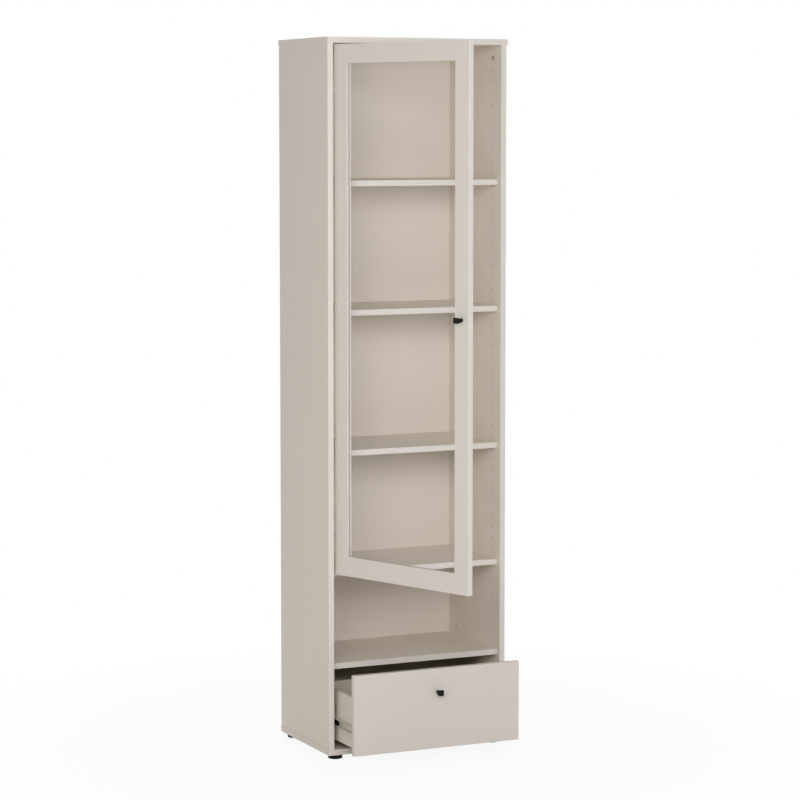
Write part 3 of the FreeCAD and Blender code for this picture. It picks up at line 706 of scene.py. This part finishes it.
def makeHingeScrews():
    plateMesh, armMesh, cupMesh = bmesh.new(), bmesh.new(), bmesh.new()
    plate, arm, cup = screws["plate"], screws["arm"], screws["cup"]
    for height in hingeHeights():
        for way in (-1, 1):
            level = height + way * case["rowPitch"] / 2
            place = along((1, 0, 0), (plate["plateFace"], plate["row"], level))
            addScrew(plateMesh, place, plate["radius"], plate["height"], plate["shank"], plate["shankRadius"])
            flange = along((0, 1, 0), (cup["cupX"], cup["flange"], height + way * cup["spread"]))
            addScrew(cupMesh, doorPlace @ flange, cup["radius"], cup["height"])
        for depth in arm["places"]:
            place = along((1, 0, 0), (arm["armFace"], depth, height))
            addScrew(armMesh, place, arm["radius"], arm["height"])
    finishPiece(plateMesh, "plateScrews", "platedSteel", "carcass", replaced=("hinge_plate_screws",))
    finishPiece(armMesh, "armScrews", "platedSteel", "carcass")
    finishPiece(cupMesh, "cupScrews", "platedSteel", "door")


def makeSlideScrews():
    mesh = bmesh.new()
    look = screws["slide"]
    for side in (-1, 1):
        for depth in look["places"]:
            place = along((side, 0, 0), (side * look["web"], depth, look["mid"]))
            addScrew(mesh, drawerPlace @ place, look["radius"], look["height"])
    finishPiece(mesh, "slideScrews", "castZinc", "drawer")


def makeKnobScrews():
    look = screws["knob"]
    for name, start, place, body, node in (
            ("doorKnobScrew", knob["doorPlace"], doorPlace, "door", "door_knob_screw"),
            ("drawerKnobScrew", knob["drawerPlace"], drawerPlace, "drawer", "drawer_knob_screw")):
        mesh = bmesh.new()
        seat = Vector(start) + Vector((0.0, look["board"], 0.0))
        seated = place @ along((0, 1, 0), seat)
        addScrew(mesh, seated, look["radius"], look["height"], look["shank"], look["shankRadius"])
        finishPiece(mesh, name, "platedSteel", body, replaced=(node,))


makeHingeScrews()
makeSlideScrews()
makeKnobScrews()
print("screws: hinges, slides and knobs")


# black release levers in the drawer's slide members
lever = {"tip": -0.052, "paddle": 0.014, "half": 0.0078, "neck": 0.004, "boss": -0.016, "bossRadius": 0.0064,
         "corner": 0.002, "bossSteps": 12, "nearWall": 0.2478, "farWall": 0.2426, "mid": 0.1045, "soft": 0.0004,
         "level": 1e-6}


def leverOutline():
    # side view: a finger paddle, a neck and a round boss on the rivet
    tip, half, neck, corner = lever["tip"], lever["half"], lever["neck"], lever["corner"]
    heel, radius = tip + lever["paddle"], lever["bossRadius"]
    points = [(tip, -half + corner), (tip + corner, -half), (heel - corner, -half), (heel + corner, -neck)]
    opening = math.asin(neck / radius)
    for index in range(lever["bossSteps"] + 1):
        angle = math.pi + opening + (2 * math.pi - 2 * opening) * index / lever["bossSteps"]
        points.append((lever["boss"] + radius * math.cos(angle), radius * math.sin(angle)))
    return points + [(heel + corner, neck), (heel - corner, half), (tip + corner, half), (tip, half - corner)]


def makeLevers():
    mesh = bmesh.new()
    for side in (-1, 1):
        flat = [mesh.verts.new(drawerPlace @ Vector((side * lever["nearWall"], depth, lever["mid"] + rise)))
                for depth, rise in leverOutline()]
        made = bmesh.ops.extrude_face_region(mesh, geom=[mesh.faces.new(flat)])
        moved = [part for part in made["geom"] if isinstance(part, bmesh.types.BMVert)]
        shift = Vector((side * (lever["farWall"] - lever["nearWall"]), 0.0, 0.0))
        bmesh.ops.translate(mesh, vec=shift, verts=moved)
    rims = [edge for edge in mesh.edges
            if abs(edge.verts[0].co.x - edge.verts[1].co.x) < lever["level"]]
    bmesh.ops.bevel(mesh, geom=rims, offset=lever["soft"], segments=2, affect="EDGES", profile=0.5)
    finishPiece(mesh, "releaseLevers", "blackPlastic", "drawer")


makeLevers()
print("release levers: 2")


# floor, world and lamps
stageLook = {"floor": paint(244, 243, 241), "size": 14.0, "drop": 0.0003, "rough": 0.9, "shine": 0.1,
             "nearWhite": 0.92, "nearReach": 0.7, "farReach": 1.5}
lampLook = {
    "front": {"place": (-0.88, -4.52, 2.03), "aim": (0.0, 0.0, 1.2), "size": (2.2, 1.2), "power": 49.0},
    "key": {"place": (-2.46, -3.92, 2.20), "aim": (0.0, 0.0, 1.2), "size": (1.8, 1.4), "power": 53.0},
    "left": {"place": (-4.20, -2.42, 1.87), "aim": (0.0, 0.0, 1.2), "size": (2.2, 1.6), "power": 27.0},
    "right": {"place": (2.17, -4.65, 2.72), "aim": (0.0, 0.0, 1.05), "size": (2.3, 2.3), "power": 17.0},
    "rear": {"place": (1.3, 4.9, 2.5), "aim": (0.0, 0.0, 1.0), "size": (2.3, 2.3), "power": 85.0},
    "rearRight": {"place": (4.2, 2.4, 2.3), "aim": (0.0, 0.0, 1.0), "size": (2.3, 2.3), "power": 45.0},
    "above": {"place": (0.2, 0.7, 4.2), "aim": (0.0, 0.05, 1.97), "size": (1.6, 1.6), "power": 30.0},
}
worldLook = {"ambient": 0.2}


def seenShare(tree):
    # rays that show the background itself: straight, mirrored or through glass, not off a matt face
    path = tree.nodes.new("ShaderNodeLightPath")
    total = mathNode(tree, "ADD", path.outputs["Is Camera Ray"], path.outputs["Is Glossy Ray"])
    total = mathNode(tree, "ADD", total, path.outputs["Is Transmission Ray"], clamp=True)
    unscattered = mathNode(tree, "LESS_THAN", path.outputs["Diffuse Depth"], 0.5)
    return mathNode(tree, "MULTIPLY", total, unscattered)


def makeStage():
    mesh = bmesh.new()
    bmesh.ops.create_grid(mesh, x_segments=1, y_segments=1, size=stageLook["size"] / 2)
    data = bpy.data.meshes.new("floor")
    mesh.to_mesh(data)
    mesh.free()
    floor = bpy.data.objects.new("floor", data)
    floor.location.z = -stageLook["drop"]
    scene.collection.objects.link(floor)
    finish, tree, shader = newFinish("paleFloor")
    shader.inputs["Base Color"].default_value = stageLook["floor"]
    shader.inputs["Roughness"].default_value = stageLook["rough"]
    shader.inputs["Specular IOR Level"].default_value = stageLook["shine"]
    length = tree.nodes.new("ShaderNodeVectorMath")
    length.operation = "LENGTH"
    tree.links.new(tree.nodes.new("ShaderNodeTexCoord").outputs["Object"], length.inputs[0])
    fade = tree.nodes.new("ShaderNodeMapRange")
    fade.interpolation_type = "SMOOTHSTEP"
    for label, value in (("From Min", stageLook["nearReach"]), ("From Max", stageLook["farReach"]),
                         ("To Min", stageLook["nearWhite"]), ("To Max", 1.0)):
        fade.inputs[label].default_value = value
    tree.links.new(length.outputs["Value"], fade.inputs["Value"])
    white = tree.nodes.new("ShaderNodeEmission")
    blend = tree.nodes.new("ShaderNodeMixShader")
    tree.links.new(mathNode(tree, "MULTIPLY", fade.outputs["Result"], seenShare(tree)), blend.inputs[0])
    tree.links.new(shader.outputs[0], blend.inputs[1])
    tree.links.new(white.outputs[0], blend.inputs[2])
    tree.links.new(blend.outputs[0], tree.nodes["Material Output"].inputs["Surface"])
    data.materials.append(finish)


def makeWorld():
    world = bpy.data.worlds.new("studio")
    world.use_nodes = True
    scene.world = world
    tree = world.node_tree
    sky = tree.nodes["Background"]
    sky.inputs["Color"].default_value = (1.0, 1.0, 1.0, 1.0)
    extra = mathNode(tree, "MULTIPLY", seenShare(tree), 1.0 - worldLook["ambient"])
    tree.links.new(mathNode(tree, "ADD", extra, worldLook["ambient"]), sky.inputs["Strength"])


def makeLamps():
    for name, look in lampLook.items():
        data = bpy.data.lights.new(name, "AREA")
        data.shape = "RECTANGLE"
        data.size, data.size_y = look["size"]
        data.energy = look["power"]
        lamp = bpy.data.objects.new(name, data)
        lamp.location = look["place"]
        aim = Vector(look["aim"]) - Vector(look["place"])
        lamp.rotation_euler = aim.to_track_quat("-Z", "Y").to_euler()
        scene.collection.objects.link(lamp)


makeStage()
makeWorld()
makeLamps()
print("stage: floor, world and", len(lampLook), "lamps")


# camera
shot = {"place": (-3.1846, -6.8662, 1.7257), "turn": 25.047, "tilt": 5.0383, "lens": 121.745, "sensor": 36.0,
        "shiftY": -0.04}
cameraData = bpy.data.cameras.new("shot")
cameraData.lens = shot["lens"]
cameraData.sensor_width = shot["sensor"]
cameraData.shift_y = shot["shiftY"]
camera = bpy.data.objects.new("shot", cameraData)
camera.location = shot["place"]
camera.rotation_euler = (math.radians(90 - shot["tilt"]), 0.0, math.radians(-shot["turn"]))
scene.collection.objects.link(camera)
scene.camera = camera
